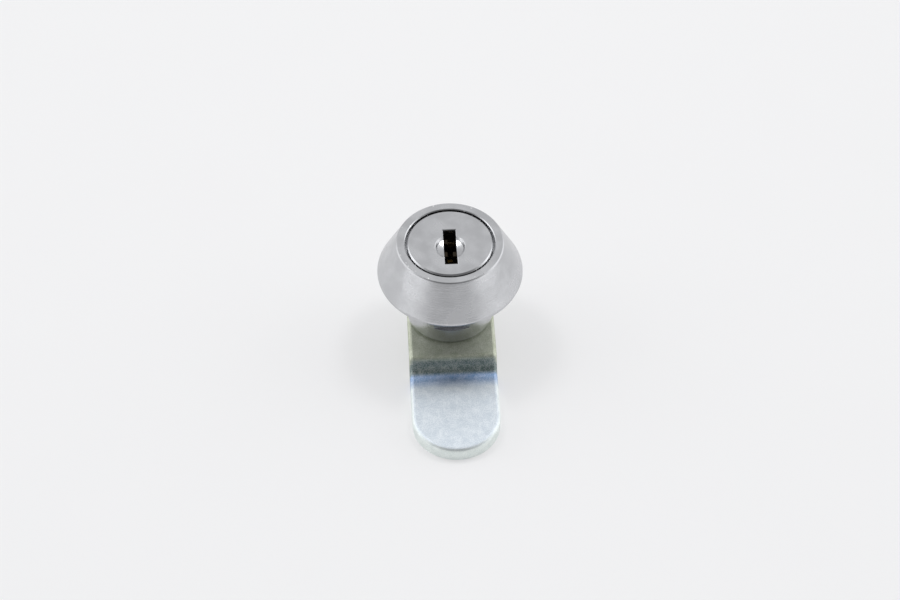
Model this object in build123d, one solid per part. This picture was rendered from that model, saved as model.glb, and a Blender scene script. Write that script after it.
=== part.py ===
from build123d import *

import math
import os

# Key-operated cam lock for a cabinet door: a conical head in front of the panel, a short barrel
# through it and a cranked cam behind it.
#
# Millimetres. The origin is on the lock's axis, in the plane of the head's underside, which seats
# on the front of the panel. +Z leaves the panel through the head's face. The cam points along -Y.
# The tumblers are drawn level with the plug, as a key holds them, so the plug is free to turn.

# A small rounding on a turned edge is made of short cones, each about this wide
CONE_WIDTH = 0.4

# Head
HEAD_HEIGHT = 8.1
HEAD_RADIUS = 13.2
HEAD_TAPER = 26.3
HEAD_RIM_ROUND = 0.7
FACE_EDGE_ROUND = 0.25

# Barrel and the clip seat between its two flats
BARREL_RADIUS = 8.0
BARREL_LENGTH = 10.5
BARREL_CHAMFER = 0.3
FLAT_HALF_WIDTH = 7.3
FLAT_LENGTH = 7.05

# Plug and its bore
PLUG_FACE_RADIUS = 7.75
PLUG_FACE_THICKNESS = 2.2
PLUG_RADIUS = 5.5
RUNNING_CLEARANCE = 0.05
MOUTH_CLEARANCE = 0.35
MOUTH_ROUND = 0.15
PLUG_END_PLAY = 0.05
CAM_CLEARANCE = 0.1

# Key entry: a slot and a round dimple in the face, off the axis towards the cam, and the keyway
# behind it, whose upper end is the slot's
KEY_ENTRY_Y = -0.95
KEY_ENTRY_EASE = 0.12
KEY_SLOT_HEIGHT = 8.1
KEY_SLOT_WIDTH = 2.3
KEYWAY_HEIGHT = 7.2
KEYWAY_END_Z = -8.2
DIMPLE_RADIUS = 2.68
DIMPLE_FLOOR_RADIUS = 2.35
DIMPLE_WALL = 0.5
DIMPLE_DEPTH = 1.15

# Wards: ribs along the keyway's sides that fit the key's grooves. Each has its side, its middle
# across the keyway's height and how far it stands in from the wall.
WARDS = ((-1, 1.4, 0.75), (-1, -1.6, 0.6), (1, -1.6, 0.7))
WARD_HEIGHT = 1.0
WARD_TOP_DEPTH = 1.35

# Tumblers: flat plates that slide across the plug, in turn towards -Y and +Y. Each number is how
# deep the key is cut where it lifts the edge of that tumbler's window.
KEY_CUTS = (0.45, 0.75, 0.15, 0.45, 0.75, 0.15, 0.45, 0.75)
TUMBLER_PITCH = 1.6
TUMBLER_THICKNESS = 1.0
TUMBLER_WIDTH = 6.2
TUMBLER_END_RADIUS = 5.42
TUMBLER_TRAVEL = 0.6
TUMBLER_PLAY = 0.1
FIRST_TUMBLER_Z = 4.26
WINDOW_WIDTH = 2.6
WINDOW_PLAY = 0.15
LUG_REACH = 4.55
LUG_FROM = -1.5
LUG_TO = -0.5

# Tumbler springs and their pockets in the plug's sides
SPRING_RADIUS = 0.7
SPRING_WIRE_RADIUS = 0.12
SPRING_TURNS = 3.5
SPRING_BENDS_PER_TURN = 8
SPRING_AXIS_X = 3.95
SPRING_END_GAP = 0.02
POCKET_END_Y = 2.3
POCKET_REACH = 4.7
POCKET_HEIGHT = 1.5

# Grooves in the housing's bore, where the tumblers lock
GROOVE_WIDTH = 6.6
GROOVE_END_CLEARANCE = 0.28

# Stop: a lug on the plug in a sector of the barrel's rear end
STOP_TOP_Z = -8.9
STOP_LUG_RADIUS = 6.2
STOP_LUG_HALF_ANGLE = 22.0
STOP_RECESS_RADIUS = 6.35
STOP_CLEARANCE_ANGLE = 1.0
STOP_END_CLEARANCE = 0.1
QUARTER_TURN = 90.0

# Square tail and cam
TAIL_SIDE = 7.0
TAIL_CHAMFER = 0.5
TAIL_CLEARANCE = 0.05
TAIL_SHORTFALL = 0.2
CAM_THICKNESS = 2.8
CAM_WIDTH = 16.0
CAM_REACH = 30.0
CAM_CRANK = 3.2
CAM_CRANK_START = 11.2
CAM_CRANK_SLOPE = 75.0
CAM_WEB_THICKNESS = 2.4
CAM_BEND_ROUND = 1.0
CAM_BEND_CORNER = 0.6
CAM_BEND_SWEEP = 2.4
CAM_EDGE_FLAT = 0.5
CAM_EDGE_EASE = 0.15

# Cam screw and its toothed washer
SCREW_RADIUS = 2.5
SCREW_LENGTH = 4.2
SCREW_HOLE_END_Z = -9.4
SCREW_HEAD_RADIUS = 4.5
SCREW_HEAD_ROUND = 1.2
SCREW_TIP_CHAMFER = 0.5
RECESS_LENGTH = 4.4
RECESS_WIDTH = 1.1
RECESS_DEPTH = 1.7
WASHER_RADIUS = 5.0
WASHER_RING_RADIUS = 3.7
WASHER_BORE_RADIUS = 2.65
WASHER_THICKNESS = 0.6
WASHER_TEETH = 8
WASHER_TOOTH_WIDTH = 1.3

# Places that follow from the sizes above
KEYWAY_Y = KEY_ENTRY_Y + (KEY_SLOT_HEIGHT - KEYWAY_HEIGHT) / 2
GROOVE_DEPTH_RADIUS = TUMBLER_END_RADIUS + TUMBLER_TRAVEL + GROOVE_END_CLEARANCE
BARREL_END_Z = -BARREL_LENGTH
PLUG_FACE_UNDER_Z = HEAD_HEIGHT - PLUG_FACE_THICKNESS
KEY_SLOT_FLOOR_Z = HEAD_HEIGHT - WARD_TOP_DEPTH
MOUTH_FLOOR_Z = PLUG_FACE_UNDER_Z - PLUG_END_PLAY
CAM_TOP_Z = BARREL_END_Z - CAM_CLEARANCE
CAM_UNDER_Z = CAM_TOP_Z - CAM_THICKNESS
TAIL_END_Z = CAM_UNDER_Z + TAIL_SHORTFALL
SCREW_SEAT_Z = CAM_UNDER_Z - WASHER_THICKNESS
FOOT_Z = CAM_UNDER_Z - CAM_CRANK
SCREW_HEAD_HEIGHT = SCREW_SEAT_Z - FOOT_Z


def disc(radius, z_low, z_high):
    """A cylinder on the lock's axis between two heights."""
    middle = (z_low + z_high) / 2
    return Pos(0, 0, middle) * Cylinder(radius, z_high - z_low)


def block(x_range, y_range, z_range):
    """A box between two places on each axis."""
    spans = (x_range, y_range, z_range)
    size = [high - low for low, high in spans]
    middle = [(high + low) / 2 for low, high in spans]
    return Pos(*middle) * Box(*size)


def span_about(middle, length):
    """The two ends of a length about its middle."""
    return middle - length / 2, middle + length / 2


def sector(radius, angle_from, angle_to, z_low, z_high):
    """A pie slice about the lock's axis, with angles counted from +X."""
    start = Vector(radius, 0).rotate(Axis.Z, angle_from)
    rim = CenterArc((0, 0), radius, angle_from, angle_to - angle_from)
    outline = Line((0, 0), start) + rim + Line(rim @ 1, (0, 0))
    return Pos(0, 0, z_low) * extrude(make_face(outline), z_high - z_low)


def corner_of(sketch, corner):
    """The sketch's vertex nearest to the given point."""
    return sketch.vertices().sort_by_distance(corner)[0]


def turned(section):
    """A section turned about the lock's axis, with each of its small arcs as a few short cones."""
    points = []
    for edge in section.face().outer_wire().order_edges():
        steps = math.ceil(edge.length / CONE_WIDTH) if edge.geom_type == GeomType.CIRCLE else 1
        points += [edge.position_at(step / steps) for step in range(steps)]
    return revolve(make_face(Polyline(*points, close=True)), Axis.Z)


def tumbler_height(index):
    """The height of a tumbler's middle plane; the first is the nearest to the face."""
    return FIRST_TUMBLER_Z - index * TUMBLER_PITCH


def tumbler_place(index):
    """Where a tumbler and its spring go: every second one is turned half round."""
    return Pos(0, 0, tumbler_height(index)) * Rot(0, 0, 180 * (index % 2))


def head_foot_radius():
    """Where the cone, run on past its rounded rim, would meet the plane of the head's underside."""
    slope = math.radians(HEAD_TAPER)
    rim_centre = HEAD_RADIUS - HEAD_RIM_ROUND
    rise = HEAD_RIM_ROUND * (1 + math.sin(slope))
    return rim_centre + HEAD_RIM_ROUND * math.cos(slope) + rise * math.tan(slope)


def housing_section():
    """Half of the housing's section: barrel, conical head, mouth for the plug's face and bore."""
    bore_radius = PLUG_RADIUS + RUNNING_CLEARANCE
    rear_corner = (BARREL_RADIUS, 0, BARREL_END_Z)
    rim_corner = (head_foot_radius(), 0, 0)
    face_radius = head_foot_radius() - HEAD_HEIGHT * math.tan(math.radians(HEAD_TAPER))
    face_corner = (face_radius, 0, HEAD_HEIGHT)
    mouth_corner = (PLUG_FACE_RADIUS + MOUTH_CLEARANCE, 0, HEAD_HEIGHT)
    outline = Polyline(
        (bore_radius, 0, BARREL_END_Z),
        rear_corner,
        (BARREL_RADIUS, 0, 0),
        rim_corner,
        face_corner,
        mouth_corner,
        (PLUG_FACE_RADIUS + MOUTH_CLEARANCE, 0, MOUTH_FLOOR_Z),
        (bore_radius, 0, MOUTH_FLOOR_Z),
        close=True,
    )
    section = make_face(outline)
    section = chamfer(corner_of(section, rear_corner), BARREL_CHAMFER)
    section = fillet(corner_of(section, rim_corner), HEAD_RIM_ROUND)
    section = fillet(corner_of(section, face_corner), FACE_EDGE_ROUND)
    return fillet(corner_of(section, mouth_corner), MOUTH_ROUND)


def housing():
    """The die-cast shell: turned form, clip flats, tumbler grooves and the sector for the stop."""
    solid = turned(housing_section())
    for side in (-1, 1):
        reach = sorted((side * FLAT_HALF_WIDTH, side * 2 * BARREL_RADIUS))
        solid -= block((-BARREL_RADIUS, BARREL_RADIUS), reach, (-FLAT_LENGTH, 0))
    half_groove = GROOVE_WIDTH / 2
    solid -= block(
        (-half_groove, half_groove),
        (-GROOVE_DEPTH_RADIUS, GROOVE_DEPTH_RADIUS),
        (STOP_TOP_Z, MOUTH_FLOOR_Z),
    )
    margin = STOP_LUG_HALF_ANGLE + STOP_CLEARANCE_ANGLE
    solid -= sector(STOP_RECESS_RADIUS, 90 - QUARTER_TURN - margin, 90 + margin, BARREL_END_Z, STOP_TOP_Z)
    return solid


def key_entry():
    """The space that the key goes through: slot and round dimple in the face, keyway behind."""
    half_width = KEY_SLOT_WIDTH / 2
    width = (-half_width, half_width)
    slot = block(width, span_about(KEY_ENTRY_Y, KEY_SLOT_HEIGHT), (KEY_SLOT_FLOOR_Z, HEAD_HEIGHT))
    keyway = block(width, span_about(KEYWAY_Y, KEYWAY_HEIGHT), (KEYWAY_END_Z, HEAD_HEIGHT))
    for side, middle, reach in WARDS:
        wall = side * half_width
        rib = sorted((wall, wall - side * reach))
        keyway -= block(rib, span_about(middle, WARD_HEIGHT), (KEYWAY_END_Z, KEY_SLOT_FLOOR_Z))
    dimple = Polyline(
        (0, 0, HEAD_HEIGHT),
        (DIMPLE_RADIUS, 0, HEAD_HEIGHT),
        (DIMPLE_FLOOR_RADIUS, 0, HEAD_HEIGHT - DIMPLE_WALL),
        (0, 0, HEAD_HEIGHT - DIMPLE_DEPTH),
        close=True,
    )
    return slot + keyway + Pos(0, KEY_ENTRY_Y) * revolve(make_face(dimple), Axis.Z)


def tumbler_chamber():
    """What one tumbler and its spring take out of the plug, about the tumbler's middle plane."""
    half_width = TUMBLER_WIDTH / 2 + TUMBLER_PLAY
    half_slot = TUMBLER_THICKNESS / 2 + TUMBLER_PLAY / 2
    half_pocket = POCKET_HEIGHT / 2
    slot = block((-half_width, half_width), (-PLUG_RADIUS, PLUG_RADIUS), (-half_slot, half_slot))
    pocket = block((0, POCKET_REACH), (-PLUG_RADIUS, POCKET_END_Y), (-half_pocket, half_pocket))
    return slot + pocket


def plug_section():
    """Half of the plug's section: the body, and the wider face with its rounded edge."""
    face_corner = (PLUG_FACE_RADIUS, 0, HEAD_HEIGHT)
    outline = Polyline(
        (0, 0, CAM_TOP_Z),
        (PLUG_RADIUS, 0, CAM_TOP_Z),
        (PLUG_RADIUS, 0, PLUG_FACE_UNDER_Z),
        (PLUG_FACE_RADIUS, 0, PLUG_FACE_UNDER_Z),
        face_corner,
        (0, 0, HEAD_HEIGHT),
        close=True,
    )
    section = make_face(outline)
    return fillet(corner_of(section, face_corner), FACE_EDGE_ROUND)


def plug():
    """The turning core: face, body with its chambers, stop lug, square tail and tapped hole."""
    core = turned(plug_section())
    lug_low = BARREL_END_Z
    lug_high = STOP_TOP_Z - STOP_END_CLEARANCE
    lug = sector(STOP_LUG_RADIUS, 90 - STOP_LUG_HALF_ANGLE, 90 + STOP_LUG_HALF_ANGLE, lug_low, lug_high)
    half_tail = TAIL_SIDE / 2
    tail = block((-half_tail, half_tail), (-half_tail, half_tail), (TAIL_END_Z, CAM_TOP_Z))
    tail = chamfer(tail.edges().filter_by(Axis.Z), TAIL_CHAMFER)
    solid = core + lug + tail
    solid -= key_entry()
    entry_rim = solid.faces().sort_by(Axis.Z)[-1].inner_wires()[0]
    solid = chamfer(entry_rim.edges(), KEY_ENTRY_EASE)
    solid -= disc(SCREW_RADIUS, TAIL_END_Z, SCREW_HOLE_END_Z)
    for index in range(len(KEY_CUTS)):
        solid -= tumbler_place(index) * tumbler_chamber()
    return solid


def tumbler(index):
    """One plate tumbler: round ends, a window for the key and a lug for the spring at one side."""
    half_width = TUMBLER_WIDTH / 2
    half_window = WINDOW_WIDTH / 2
    half_thickness = TUMBLER_THICKNESS / 2
    facing = 1 - 2 * (index % 2)
    keyway_low, keyway_high = span_about(facing * KEYWAY_Y, KEYWAY_HEIGHT)
    window = (keyway_low - WINDOW_PLAY, keyway_high - KEY_CUTS[index])
    flat = (-half_thickness, half_thickness)
    plate = disc(TUMBLER_END_RADIUS, *flat)
    plate &= block((-half_width, half_width), (-TUMBLER_END_RADIUS, TUMBLER_END_RADIUS), flat)
    plate += block((0, LUG_REACH), (LUG_FROM, LUG_TO), flat)
    plate -= block((-half_window, half_window), window, flat)
    return tumbler_place(index) * plate


def coil(radius, wire_radius, rise, turns):
    """A round coil along +Z from the origin, bent from short straight lengths of six-sided wire."""
    count = round(turns * SPRING_BENDS_PER_TURN)
    points = []
    for step in range(count + 1):
        turn = Vector(radius, 0, rise * step / count).rotate(Axis.Z, step * 360 / SPRING_BENDS_PER_TURN)
        points.append(turn)
    path = Polyline(*points)
    wire = (path ^ 0) * RegularPolygon(wire_radius, 6)
    return sweep(wire, path, transition=Transition.RIGHT)


def tumbler_spring(index):
    """The coil between a tumbler's lug and the closed end of its pocket."""
    length = POCKET_END_Y - LUG_TO - SPRING_END_GAP
    rise = length - 2 * SPRING_WIRE_RADIUS
    spring = coil(SPRING_RADIUS - SPRING_WIRE_RADIUS, SPRING_WIRE_RADIUS, rise, SPRING_TURNS)
    start_y = LUG_TO + SPRING_END_GAP + SPRING_WIRE_RADIUS
    return tumbler_place(index) * Pos(SPRING_AXIS_X, start_y, 0) * Rot(-90, 0, 0) * spring


def cam_side_profile():
    """The cranked strip seen from the side, in the YZ plane, with its four bends rounded."""
    run = CAM_CRANK / math.tan(math.radians(CAM_CRANK_SLOPE))
    outer_top_z = CAM_TOP_Z - CAM_CRANK
    hub_end = CAM_WIDTH / 2
    top_bend = (0, -CAM_CRANK_START, CAM_TOP_Z)
    top_corner = (0, -CAM_CRANK_START - run, outer_top_z)
    under_bend = (0, -CAM_CRANK_START - run + CAM_WEB_THICKNESS, FOOT_Z)
    under_corner = (0, -CAM_CRANK_START + CAM_WEB_THICKNESS, CAM_UNDER_Z)
    outline = Polyline(
        (0, hub_end, CAM_TOP_Z),
        top_bend,
        top_corner,
        (0, -CAM_REACH, outer_top_z),
        (0, -CAM_REACH, FOOT_Z),
        under_bend,
        under_corner,
        (0, hub_end, CAM_UNDER_Z),
        close=True,
    )
    section = make_face(outline)
    for corner, radius in (
        (top_bend, CAM_BEND_ROUND),
        (under_bend, CAM_BEND_ROUND),
        (top_corner, CAM_BEND_SWEEP),
        (under_corner, CAM_BEND_CORNER),
    ):
        section = fillet(corner_of(section, corner), radius)
    return section


def cam():
    """The cranked cam: a strip with round ends, a square hole for the tail and rolled edges."""
    half_width = CAM_WIDTH / 2
    end_centre = CAM_REACH - half_width
    strip = extrude(cam_side_profile(), half_width, both=True)
    plan = Pos(0, -end_centre / 2) * SlotCenterToCenter(end_centre, CAM_WIDTH, rotation=90)
    solid = strip & (Pos(0, 0, FOOT_Z) * extrude(plan, CAM_TOP_Z - FOOT_Z))
    solid = roll_edges(solid)
    half_hole = TAIL_SIDE / 2 + TAIL_CLEARANCE
    hole = block((-half_hole, half_hole), (-half_hole, half_hole), (CAM_UNDER_Z, CAM_TOP_Z))
    solid -= hole
    return solid


def roll_edges(solid):
    """Eases the strip's upper outline, which the blanking die rolled in, in three narrow flats."""
    walls = solid.faces().filter_by(lambda face: abs(face.normal_at().Z) < 0.1)
    upper = solid.faces().filter_by(lambda face: face.normal_at().Z > 0.1)
    solid = chamfer(upper.edges() & walls.edges(), CAM_EDGE_FLAT)
    flats = solid.faces().filter_by(is_edge_flat)
    others = solid.faces() - flats
    return chamfer(flats.edges() & others.edges(), CAM_EDGE_EASE)


def is_edge_flat(face):
    """Whether a face of the strip is one of the flats along its outline."""
    return face.geom_type == GeomType.CONE or 0.1 < abs(face.normal_at().X) < 0.9


def lock_washer():
    """The washer under the screw's head, a flat ring with teeth round its hole."""
    ring = disc(WASHER_RADIUS, SCREW_SEAT_Z, CAM_UNDER_Z)
    ring -= disc(WASHER_RING_RADIUS, SCREW_SEAT_Z, CAM_UNDER_Z)
    half_tooth = WASHER_TOOTH_WIDTH / 2
    root = (WASHER_RING_RADIUS + WASHER_RADIUS) / 2
    tooth = block((0, root), (-half_tooth, half_tooth), (SCREW_SEAT_Z, CAM_UNDER_Z))
    for index in range(WASHER_TEETH):
        ring += Rot(0, 0, index * 360 / WASHER_TEETH) * tooth
    return ring - disc(WASHER_BORE_RADIUS, SCREW_SEAT_Z, CAM_UNDER_Z)


def screw_section():
    """Half of the screw's section: the low pan head, which the lock stands on, and the shank."""
    rim_corner = (SCREW_HEAD_RADIUS, 0, FOOT_Z)
    tip_corner = (SCREW_RADIUS, 0, SCREW_SEAT_Z + SCREW_LENGTH)
    outline = Polyline(
        (0, 0, FOOT_Z),
        rim_corner,
        (SCREW_HEAD_RADIUS, 0, SCREW_SEAT_Z),
        (SCREW_RADIUS, 0, SCREW_SEAT_Z),
        tip_corner,
        (0, 0, SCREW_SEAT_Z + SCREW_LENGTH),
        close=True,
    )
    section = make_face(outline)
    section = fillet(corner_of(section, rim_corner), SCREW_HEAD_ROUND)
    return chamfer(corner_of(section, tip_corner), SCREW_TIP_CHAMFER)


def cam_screw():
    """The low pan-head screw, with a cross recess, that holds the cam on the plug's tail."""
    cross = Rectangle(RECESS_LENGTH, RECESS_WIDTH) + Rectangle(RECESS_WIDTH, RECESS_LENGTH)
    return turned(screw_section()) - Pos(0, 0, FOOT_Z) * extrude(cross, RECESS_DEPTH)


def build_parts():
    """Every node of the lock, by name."""
    parts = {
        "housing": housing(),
        "plug": plug(),
        "cam": cam(),
        "lock_washer": lock_washer(),
        "cam_screw": cam_screw(),
    }
    for index in range(len(KEY_CUTS)):
        parts[f"tumbler_{index + 1}"] = tumbler(index)
        parts[f"tumbler_spring_{index + 1}"] = tumbler_spring(index)
    return parts


def main():
    os.makedirs("parts", exist_ok=True)
    for name, shape in build_parts().items():
        export_step(shape, f"parts/{name}.step")


if __name__ == "__main__":
    main()
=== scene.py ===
"""Finishes and studio for a key-operated cam lock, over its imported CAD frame.

Metres, in the frame's own axes: the origin is on the lock's axis, in the plane of the head's
underside. +Z leaves the face and the cam points along -Y.
"""

import math

import bpy
from bpy.props import FloatProperty, FloatVectorProperty, PointerProperty
from bpy.types import Operator, Panel, PropertyGroup
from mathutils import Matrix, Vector


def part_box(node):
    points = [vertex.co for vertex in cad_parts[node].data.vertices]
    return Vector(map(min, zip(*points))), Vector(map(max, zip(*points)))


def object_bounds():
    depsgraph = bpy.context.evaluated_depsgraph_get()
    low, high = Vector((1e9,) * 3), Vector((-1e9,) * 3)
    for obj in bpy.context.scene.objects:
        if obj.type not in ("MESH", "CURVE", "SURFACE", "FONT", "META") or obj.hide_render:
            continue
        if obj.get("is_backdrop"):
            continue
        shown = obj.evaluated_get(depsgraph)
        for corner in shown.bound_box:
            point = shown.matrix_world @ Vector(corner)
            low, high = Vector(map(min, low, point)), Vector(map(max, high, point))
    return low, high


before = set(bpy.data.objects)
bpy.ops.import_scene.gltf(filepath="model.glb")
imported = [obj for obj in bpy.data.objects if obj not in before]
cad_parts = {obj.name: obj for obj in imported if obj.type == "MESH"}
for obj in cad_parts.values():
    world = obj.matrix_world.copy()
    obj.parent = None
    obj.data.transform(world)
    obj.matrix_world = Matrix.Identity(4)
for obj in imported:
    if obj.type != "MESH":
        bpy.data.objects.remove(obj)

bl_info = {
    "name": "Cam Lock",
    "version": (1, 0, 0),
    "blender": (4, 5, 0),
    "location": "View3D > Sidebar > Cam Lock",
    "description": "Metal finishes and a plain studio for a key-operated cam lock",
    "category": "Object",
}

MM = 0.001
WHITE = (1.0, 1.0, 1.0, 1.0)

# Chrome: radii from the lock's axis and heights above the head's underside
PLUG_GAP_RADIUS = 7.95 * MM
PLUG_GAP_FADE = (0.35 * MM, 0.2 * MM)
FACE_RIM_RADIUS = 9.3 * MM
FACE_RIM_FADE = (0.3 * MM, 0.1 * MM)
FACE_EDGE_ZONE = (7.4 * MM, 7.7 * MM)
SMOOTHER_FACE_ZONE = (8.05 * MM, 7.6 * MM)
FACE_RELIEF = 0.25
BRUSHING_STRETCH = 0.07
KEYWAY_HALF_WIDTH_ZONE = (1.35 * MM, 1.2 * MM)
# Keyway walls deeper than this below the plug's face are painted near black: painted shade
BARE_SHADE_DEPTH = 0.9 * MM
BARE_SHADE_FADE = 0.3 * MM
KEYWAY_PAINTED_SHADE = (0.035, 0.028, 0.02)
BARE_ROUGHNESS = 0.6

# Zinc: where along the cam each painted dark reflection begins and ends, and what it multiplies the
# plating's colour by
HUB_ZONE = (-11.6 * MM, -10.9 * MM)
HUB_REFLECTION_TINT = (0.75, 0.73, 0.50)
CRANK_ZONE = (-13.2 * MM, -12.4 * MM)
CRANK_REFLECTION_TINT = (0.20, 0.26, 0.22)
FOOT_ZONE = (-16.2 * MM, -13.4 * MM)
FOOT_REFLECTION_TINT = (0.35, 0.52, 0.80)
# Edges: partly the cut edge's own neutral tint, partly painted light that brightens the walls
EDGE_TINT_AND_LIGHT = (1.30, 1.27, 1.14)
DARK_SPECKLE = (0.1, 0.14, 0.22)
SCREW_ROUGHNESS_SHARE = 0.7

# Studio
FLOOR_HALF_WIDTH = 1.5
FLOOR_GAP = 0.02 * MM
FLOOR_LIFT = 0.5
PAPER_WHITE = (0.90, 0.90, 0.91)
ROOM_COLOUR = (0.985, 0.99, 1.0)
SIDE_LIGHT = 1.2
CEILING_DIRECTION = (0.0, 0.30, 0.954)
LAMP_SIDE = 0.24
LAMP_BACK = 0.16
LAMP_HEIGHT = 0.58
LAMP_SIZE = 0.14
LAMP_WATTS = 2.2
CAMERA_PITCH = math.radians(49.79)
CAMERA_LENS = 89.44
# How far the line of sight passes below the face's centre, as a share of the camera's distance
CAMERA_AIM_BELOW = 0.02567
CAMERA_CLIP_START = 0.01


def colour_property(name, description, default):
    """A colour that a user may change, as linear red, green and blue."""
    return FloatVectorProperty(
        name=name, description=description, default=default, size=3, subtype="COLOR", min=0, max=1
    )


def length_property(name, description, default):
    """A length that a user may change."""
    return FloatProperty(
        name=name, description=description, default=default, unit="LENGTH", precision=5
    )


def strength_property(name, description, default):
    """A plain factor that a user may change."""
    return FloatProperty(name=name, description=description, default=default, min=0)


class CamLockFinish(PropertyGroup):
    """Colours and surface sizes of the lock's finishes."""

    chrome: colour_property("Chrome", "Colour of the satin chrome plating", (0.56, 0.565, 0.58))
    chrome_roughness: strength_property("Chrome roughness", "How satin the chrome is", 0.26)
    zinc: colour_property("Zinc", "Colour of the blue passivated zinc", (0.66, 0.725, 0.78))
    zinc_roughness: strength_property("Zinc roughness", "How matt the zinc is", 0.55)
    brass: colour_property("Brass", "Colour of the tumblers", (0.86, 0.69, 0.38))
    spring: colour_property("Spring steel", "Colour of the springs", (0.50, 0.50, 0.51))


class CamLockStage(PropertyGroup):
    """The studio: floor, surroundings, lamps and camera."""

    floor: colour_property("Floor", "Colour of the floor", (0.90, 0.90, 0.905))
    surround: strength_property("Surroundings", "Brightness of the room round the object", 0.68)
    dark_side: strength_property("Dark side", "Share of the room's light on the camera's side", 0.30)
    ceiling: strength_property("Ceiling", "Extra brightness of the ceiling above and behind", 0.22)
    lamps: strength_property("Lamps", "Brightness of the two overhead lamps", 0.30)
    camera_turn: FloatProperty(
        name="Camera turn", description="Camera's angle about the lock's axis",
        default=math.radians(-3), subtype="ANGLE",
    )
    camera_distance: length_property("Camera distance", "Depth of the face's centre", 0.400)


# Node trees


def add(tree, kind, inputs=None, **settings):
    """Adds a node. Inputs are plain values or other nodes' sockets."""
    node = tree.nodes.new(kind)
    for name, value in settings.items():
        setattr(node, name, value)
    for name, value in (inputs or {}).items():
        if isinstance(value, bpy.types.NodeSocket):
            tree.links.new(value, node.inputs[name])
        else:
            node.inputs[name].default_value = value
    return node


def calc(tree, operation, a, b=0.0, clamp=False):
    """One arithmetic step."""
    return add(tree, "ShaderNodeMath", {0: a, 1: b}, operation=operation, use_clamp=clamp).outputs[0]


def ramp(tree, value, low, high, start=0.0, end=1.0):
    """Carries value from its own range low..high smoothly to start..end, held there past it."""
    inputs = {"Value": value, "From Min": low, "From Max": high, "To Min": start, "To Max": end}
    return add(tree, "ShaderNodeMapRange", inputs, interpolation_type="SMOOTHSTEP").outputs[0]


def mix_colours(tree, factor, a, b):
    """Colour a where factor is 0 and b where it is 1."""
    return add(tree, "ShaderNodeMix", {0: factor, 6: a, 7: b}, data_type="RGBA").outputs[2]


def noise(tree, vector, scale, detail=2.0, rough=0.5):
    """Soft random values about 0.5."""
    inputs = {"Vector": vector, "Scale": scale, "Detail": detail, "Roughness": rough}
    return add(tree, "ShaderNodeTexNoise", inputs).outputs["Fac"]


def rgba(colour):
    """A colour with full opacity."""
    return (*colour, 1.0)


def scaled(colour, factor):
    """A colour times one factor, held at white, with full opacity."""
    return rgba([min(1.0, value * factor) for value in colour])


def tinted_by(colour, tint):
    """A colour times a tint, channel by channel, with full opacity."""
    return rgba([value * share for value, share in zip(colour, tint)])


def close_to(tree, value, centre, fade):
    """1 where value is near centre and 0 further off, over the two distances in fade."""
    distance = calc(tree, "ABSOLUTE", calc(tree, "SUBTRACT", value, centre))
    return ramp(tree, distance, *fade)


def varied(tree, base, pattern, share):
    """A base value that goes up and down with a pattern about 0.5."""
    spread = calc(tree, "MULTIPLY", calc(tree, "SUBTRACT", pattern, 0.5), share)
    return calc(tree, "ADD", spread, base)


def new_metal(name, colour, roughness):
    """A metal with its tree, shader and object coordinates, ready for its own detail."""
    material = bpy.data.materials.new(name)
    material.use_nodes = True
    tree = material.node_tree
    shader = tree.nodes["Principled BSDF"]
    shader.inputs["Metallic"].default_value = 1.0
    shader.inputs["Base Color"].default_value = rgba(colour)
    shader.inputs["Roughness"].default_value = roughness
    place = add(tree, "ShaderNodeTexCoord").outputs["Object"]
    return material, tree, shader, place


def relief(tree, shader, height, distance, strength=1.0):
    """Raises the surface by height times distance."""
    inputs = {"Height": height, "Distance": distance, "Strength": strength}
    bump = add(tree, "ShaderNodeBump", inputs)
    tree.links.new(bump.outputs["Normal"], shader.inputs["Normal"])


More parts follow.
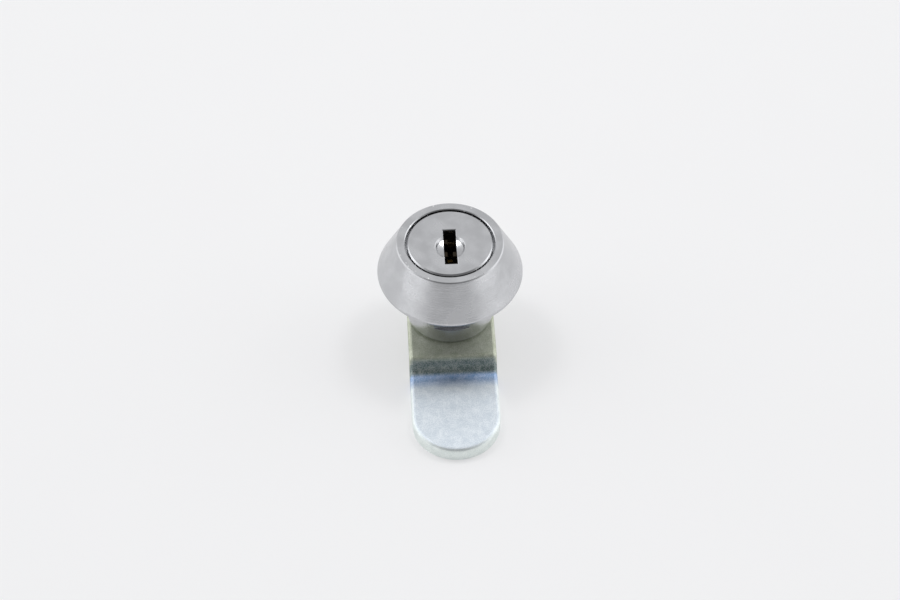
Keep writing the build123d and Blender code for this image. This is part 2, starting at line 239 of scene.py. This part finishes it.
def satin_chrome(name, colour, roughness, bare_and_shaded_below=None):
    """Chrome plate over turned and brushed die casting, with lines that run round the lock's axis.
    Under the height bare_and_shaded_below, within the keyway's width, the plating stops, dull metal
    shows, and the walls are painted near black: painted shade deep in the keyway."""
    material, tree, shader, place = new_metal(name, colour, roughness)
    axes = add(tree, "ShaderNodeSeparateXYZ", {0: place}).outputs
    squares = [calc(tree, "POWER", axes[side], 2) for side in (0, 1)]
    radius = calc(tree, "SQRT", calc(tree, "ADD", *squares))
    stretched = [calc(tree, "MULTIPLY", axes[side], BRUSHING_STRETCH) for side in (0, 1)]
    lines = {0: stretched[0], 1: stretched[1], 2: calc(tree, "SUBTRACT", axes[2], radius)}
    along = add(tree, "ShaderNodeCombineXYZ", lines).outputs[0]
    brushing = noise(tree, along, scale=5200, detail=3.0, rough=0.6)
    grain = noise(tree, place, scale=3600)
    cloud = noise(tree, place, scale=260, detail=3.0)
    below_face = ramp(tree, axes[2], *SMOOTHER_FACE_ZONE, start=FACE_RELIEF)
    rough_surface = calc(tree, "ADD", brushing, calc(tree, "MULTIPLY", grain, 0.7))
    relief(tree, shader, calc(tree, "MULTIPLY", rough_surface, below_face), distance=0.014 * MM)
    cloudy = ramp(tree, cloud, low=0.35, high=0.65)
    tone = mix_colours(tree, cloudy, scaled(colour, 0.93), scaled(colour, 1.05))
    at_gap = close_to(tree, radius, PLUG_GAP_RADIUS, PLUG_GAP_FADE)
    at_rim = close_to(tree, radius, FACE_RIM_RADIUS, FACE_RIM_FADE)
    at_face = ramp(tree, axes[2], *FACE_EDGE_ZONE)
    edge = calc(tree, "MULTIPLY", calc(tree, "MAXIMUM", at_gap, at_rim), at_face)
    # Tiny nicks along the face's edges, painted white: partly wear, partly painted glints where the nicks
    # catch the light
    nicks_and_glints = ramp(tree, noise(tree, place, scale=1500, detail=1.0), low=0.69, high=0.73)
    tone = mix_colours(tree, calc(tree, "MULTIPLY", edge, nicks_and_glints), tone, WHITE)
    satin = varied(tree, roughness, cloud, share=0.12)
    if bare_and_shaded_below is not None:
        # Painted shade: deep in the keyway the walls are painted near black, with a dull bare-metal
        # roughness
        in_keyway = ramp(tree, calc(tree, "ABSOLUTE", axes[0]), *KEYWAY_HALF_WIDTH_ZONE)
        below_bare_shade_depth = ramp(tree, axes[2], bare_and_shaded_below, bare_and_shaded_below - BARE_SHADE_FADE)
        bare_and_shaded = calc(tree, "MULTIPLY", below_bare_shade_depth, in_keyway)
        tone = mix_colours(tree, bare_and_shaded, tone, rgba(KEYWAY_PAINTED_SHADE))
        satin = calc(tree, "MAXIMUM", satin, calc(tree, "MULTIPLY", bare_and_shaded, BARE_ROUGHNESS))
    tree.links.new(tone, shader.inputs["Base Color"])
    tree.links.new(satin, shader.inputs["Roughness"])
    return material


def zinc_plate(name, colour, roughness, with_painted_reflections=False):
    """Passivated zinc over steel: pale blue where it faces up, neutral and painted brighter on its edges
    as painted light, finely speckled.
    A piece with painted reflections is also painted olive from the hub outwards, dark on the crank and
    blue at its foot: painted reflections of the shaded head, the riser and the camera's dark side."""
    material, tree, shader, place = new_metal(name, colour, roughness)
    axes = add(tree, "ShaderNodeSeparateXYZ", {0: place}).outputs
    facing = add(tree, "ShaderNodeTexCoord").outputs["Normal"]
    upward = add(tree, "ShaderNodeSeparateXYZ", {0: facing}).outputs[2]
    mottle = noise(tree, place, scale=700, detail=3.0, rough=0.6)
    speckle = noise(tree, place, scale=5200, rough=0.7)
    flat_top = ramp(tree, upward, low=0.55, high=0.95)
    # Faces that don't point up are neutral and painted about a third brighter: partly the edge's own
    # tint, partly painted light
    tone = mix_colours(tree, flat_top, tinted_by(colour, EDGE_TINT_AND_LIGHT), rgba(colour))
    if with_painted_reflections:
        # Painted dark reflections: olive on the hub under the shaded head, near black on the crank, blue
        # on the foot beside the crank
        for zone, tint in ((FOOT_ZONE, FOOT_REFLECTION_TINT), (CRANK_ZONE, CRANK_REFLECTION_TINT), (HUB_ZONE, HUB_REFLECTION_TINT)):
            tone = mix_colours(tree, ramp(tree, axes[1], *zone), tone, tinted_by(colour, tint))
    pale = mix_colours(tree, 0.35, tone, WHITE)
    deep = mix_colours(tree, 0.14, tone, rgba(DARK_SPECKLE))
    mixed = calc(tree, "ADD", calc(tree, "MULTIPLY", mottle, 0.35), calc(tree, "MULTIPLY", speckle, 0.65))
    speckled = mix_colours(tree, ramp(tree, mixed, low=0.36, high=0.66), deep, pale)
    tree.links.new(speckled, shader.inputs["Base Color"])
    rough_surface = calc(tree, "ADD", speckle, calc(tree, "MULTIPLY", mottle, 0.5))
    relief(tree, shader, rough_surface, distance=0.010 * MM)
    tree.links.new(varied(tree, roughness, speckle, share=0.25), shader.inputs["Roughness"])
    return material


def rolled_brass(name, colour):
    """Stamped brass sheet with fine rolling lines."""
    material, tree, shader, place = new_metal(name, colour, roughness=0.34)
    rolled = {"Vector": place, "Scale": (1.0, 0.1, 1.0)}
    stretched = add(tree, "ShaderNodeMapping", rolled).outputs[0]
    tarnish = ramp(tree, noise(tree, place, scale=500, detail=3.0), low=0.4, high=0.7)
    tone = mix_colours(tree, tarnish, rgba(colour), scaled(colour, 0.72))
    tree.links.new(tone, shader.inputs["Base Color"])
    relief(tree, shader, noise(tree, stretched, scale=5000), distance=0.004 * MM)
    return material


def spring_wire(name, colour):
    """Drawn steel wire, slightly uneven along its length."""
    material, tree, shader, place = new_metal(name, colour, roughness=0.3)
    drawn = noise(tree, place, scale=4000)
    uneven = ramp(tree, drawn, low=0.4, high=0.6)
    tone = mix_colours(tree, uneven, rgba(colour), scaled(colour, 0.8))
    tree.links.new(tone, shader.inputs["Base Color"])
    relief(tree, shader, drawn, distance=0.003 * MM)
    return material


def finish(node, material):
    """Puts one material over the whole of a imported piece."""
    for material_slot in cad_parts[node].material_slots:
        material_slot.material = material


class CAMLOCK_OT_housing(Operator):
    """Finishes the die-cast housing in satin chrome."""

    bl_idname = "cam_lock.housing"
    bl_label = "Housing"

    def execute(self, context):
        look = context.scene.cam_lock_finish
        finish("housing", satin_chrome("satin_chrome", look.chrome, look.chrome_roughness))
        return {"FINISHED"}


class CAMLOCK_OT_plug(Operator):
    """Finishes the turning plug in chrome."""

    bl_idname = "cam_lock.plug"
    bl_label = "Plug"

    def execute(self, context):
        look = context.scene.cam_lock_finish
        # Below this height the keyway walls are painted near black as painted shade
        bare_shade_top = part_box("plug")[1].z - BARE_SHADE_DEPTH
        finish("plug", satin_chrome("plug_satin", look.chrome, look.chrome_roughness, bare_shade_top))
        return {"FINISHED"}


class CAMLOCK_OT_tumblers(Operator):
    """Finishes the plate tumblers in brass and their springs in steel."""

    bl_idname = "cam_lock.tumblers"
    bl_label = "Tumblers and springs"

    def execute(self, context):
        look = context.scene.cam_lock_finish
        brass = rolled_brass("tumbler_brass_finish", look.brass)
        steel = spring_wire("spring_steel_finish", look.spring)
        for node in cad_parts:
            if node.startswith("tumbler_spring_"):
                finish(node, steel)
            elif node.startswith("tumbler_"):
                finish(node, brass)
        return {"FINISHED"}


class CAMLOCK_OT_cam(Operator):
    """Finishes the cranked cam, its screw and its washer in zinc."""

    bl_idname = "cam_lock.cam"
    bl_label = "Cam and screw"

    def execute(self, context):
        look = context.scene.cam_lock_finish
        finish("cam", zinc_plate("blue_zinc", look.zinc, look.zinc_roughness, with_painted_reflections=True))
        bright = zinc_plate("bright_zinc", look.zinc, look.zinc_roughness * SCREW_ROUGHNESS_SHARE)
        finish("cam_screw", bright)
        finish("lock_washer", bright)
        return {"FINISHED"}


def soft_lamp(name, place):
    """A square lamp that faces the origin."""
    stage = bpy.context.scene.cam_lock_stage
    lamp = bpy.data.lights.new(name, "AREA")
    lamp.shape = "RECTANGLE"
    lamp.size = LAMP_SIZE
    lamp.size_y = LAMP_SIZE
    lamp.energy = LAMP_WATTS * stage.lamps
    lamp_object = bpy.data.objects.new(name, lamp)
    lamp_object.location = place
    lamp_object.rotation_euler = (-Vector(place)).to_track_quat("-Z", "Y").to_euler()
    bpy.context.collection.objects.link(lamp_object)


class CAMLOCK_OT_stage(Operator):
    """Sets the floor, the surroundings, the lamps and the camera."""

    bl_idname = "cam_lock.stage"
    bl_label = "Studio"

    def execute(self, context):
        stage = context.scene.cam_lock_stage
        make_floor(stage)
        make_surroundings(stage)
        make_lamps()
        make_camera(stage)
        context.scene.view_settings.view_transform = "Standard"
        return {"FINISHED"}


def make_floor(stage):
    """A wide pale sheet just under the lock. Part of its light is its own to every ray that is seen,
    so it stays pale and keeps a soft share of the lock's shadow."""
    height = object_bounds()[0].z - FLOOR_GAP
    half = FLOOR_HALF_WIDTH
    corners = [(x, y, height) for x, y in ((-half, -half), (half, -half), (half, half), (-half, half))]
    mesh = bpy.data.meshes.new("floor")
    mesh.from_pydata(corners, [], [(0, 1, 2, 3)])
    floor = bpy.data.objects.new("floor", mesh)
    bpy.context.collection.objects.link(floor)
    material = bpy.data.materials.new("floor_paper")
    material.use_nodes = True
    tree = material.node_tree
    shader = tree.nodes["Principled BSDF"]
    shader.inputs["Roughness"].default_value = 0.85
    place = add(tree, "ShaderNodeTexCoord").outputs["Object"]
    fibre = noise(tree, place, scale=60)
    tone = mix_colours(tree, fibre, rgba(stage.floor), scaled(stage.floor, 0.985))
    tree.links.new(tone, shader.inputs["Base Color"])
    rays = add(tree, "ShaderNodeLightPath").outputs
    mirrored = calc(tree, "MAXIMUM", rays["Is Glossy Ray"], rays["Is Transmission Ray"])
    seen = calc(tree, "MAXIMUM", rays["Is Camera Ray"], mirrored)
    paper_white = add(tree, "ShaderNodeEmission", {"Color": rgba(PAPER_WHITE)}).outputs[0]
    shares = {0: calc(tree, "MULTIPLY", seen, FLOOR_LIFT), 1: shader.outputs[0], 2: paper_white}
    lifted = add(tree, "ShaderNodeMixShader", shares).outputs[0]
    tree.links.new(lifted, tree.nodes["Material Output"].inputs["Surface"])
    mesh.materials.append(material)
    floor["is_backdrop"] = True


def make_surroundings(stage):
    """A soft room: bright to both sides, darker ahead of the lock above the table, and with a
    slightly brighter ceiling."""
    world = bpy.data.worlds.new("studio")
    bpy.context.scene.world = world
    world.use_nodes = True
    tree = world.node_tree
    background = tree.nodes["Background"]
    direction = add(tree, "ShaderNodeTexCoord").outputs["Generated"]
    axes = add(tree, "ShaderNodeSeparateXYZ", {0: direction}).outputs
    side_light = ramp(tree, calc(tree, "ABSOLUTE", axes[0]), low=0.45, high=0.98, end=SIDE_LIGHT)
    room = calc(tree, "ADD", side_light, stage.surround)
    camera_side = ramp(tree, axes[1], low=0.05, high=-0.4)
    above_table = ramp(tree, axes[2], low=0.08, high=0.34)
    shaded = calc(tree, "MULTIPLY", camera_side, above_table)
    shade = calc(tree, "MULTIPLY", shaded, 1 - stage.dark_side)
    lit_room = calc(tree, "MULTIPLY", room, calc(tree, "SUBTRACT", 1.0, shade))
    facing = {0: direction, 1: CEILING_DIRECTION}
    upward = add(tree, "ShaderNodeVectorMath", facing, operation="DOT_PRODUCT").outputs["Value"]
    ceiling = ramp(tree, upward, low=0.86, high=0.98, end=stage.ceiling)
    background.inputs["Color"].default_value = rgba(ROOM_COLOUR)
    tree.links.new(calc(tree, "ADD", lit_room, ceiling), background.inputs["Strength"])


def make_lamps():
    """Two square softboxes over the lock and behind it, one to each side."""
    soft_lamp("softbox_left", (-LAMP_SIDE, LAMP_BACK, LAMP_HEIGHT))
    soft_lamp("softbox_right", (LAMP_SIDE, LAMP_BACK, LAMP_HEIGHT))


def make_camera(stage):
    """A camera above and in front, aimed past the face so that the cam shows whole."""
    across = Vector((-math.sin(stage.camera_turn), math.cos(stage.camera_turn), 0))
    vertical = Vector((0, 0, 1))
    ahead = across * math.cos(CAMERA_PITCH) - vertical * math.sin(CAMERA_PITCH)
    up = across * math.sin(CAMERA_PITCH) + vertical * math.cos(CAMERA_PITCH)
    face_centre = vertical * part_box("housing")[1].z
    data = bpy.data.cameras.new("camera")
    data.lens = CAMERA_LENS
    data.clip_start = CAMERA_CLIP_START
    camera = bpy.data.objects.new("camera", data)
    camera.location = face_centre - stage.camera_distance * (ahead + up * CAMERA_AIM_BELOW)
    camera.rotation_euler = ahead.to_track_quat("-Z", "Y").to_euler()
    bpy.context.collection.objects.link(camera)
    bpy.context.scene.camera = camera


class CAMLOCK_PT_panel(Panel):
    """Lists the lock's pieces and the studio."""

    bl_idname = "CAMLOCK_PT_panel"
    bl_label = "Cam Lock"
    bl_space_type = "VIEW_3D"
    bl_region_type = "UI"
    bl_category = "Cam Lock"

    def draw(self, context):
        for step in STEPS:
            self.layout.operator(step.bl_idname)


STEPS = (CAMLOCK_OT_housing, CAMLOCK_OT_plug, CAMLOCK_OT_tumblers, CAMLOCK_OT_cam, CAMLOCK_OT_stage)
GROUPS = {"cam_lock_finish": CamLockFinish, "cam_lock_stage": CamLockStage}


def register():
    for group in GROUPS.values():
        bpy.utils.register_class(group)
    for name, group in GROUPS.items():
        setattr(bpy.types.Scene, name, PointerProperty(type=group))
    for step in (*STEPS, CAMLOCK_PT_panel):
        bpy.utils.register_class(step)


def unregister():
    for step in reversed((*STEPS, CAMLOCK_PT_panel)):
        bpy.utils.unregister_class(step)
    for name in GROUPS:
        delattr(bpy.types.Scene, name)
    for group in reversed(GROUPS.values()):
        bpy.utils.unregister_class(group)


def main():
    """Registers the add-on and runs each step."""
    register()
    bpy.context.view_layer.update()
    for step in STEPS:
        group, name = step.bl_idname.split(".")
        getattr(getattr(bpy.ops, group), name)()


if __name__ == "__main__":
    main()
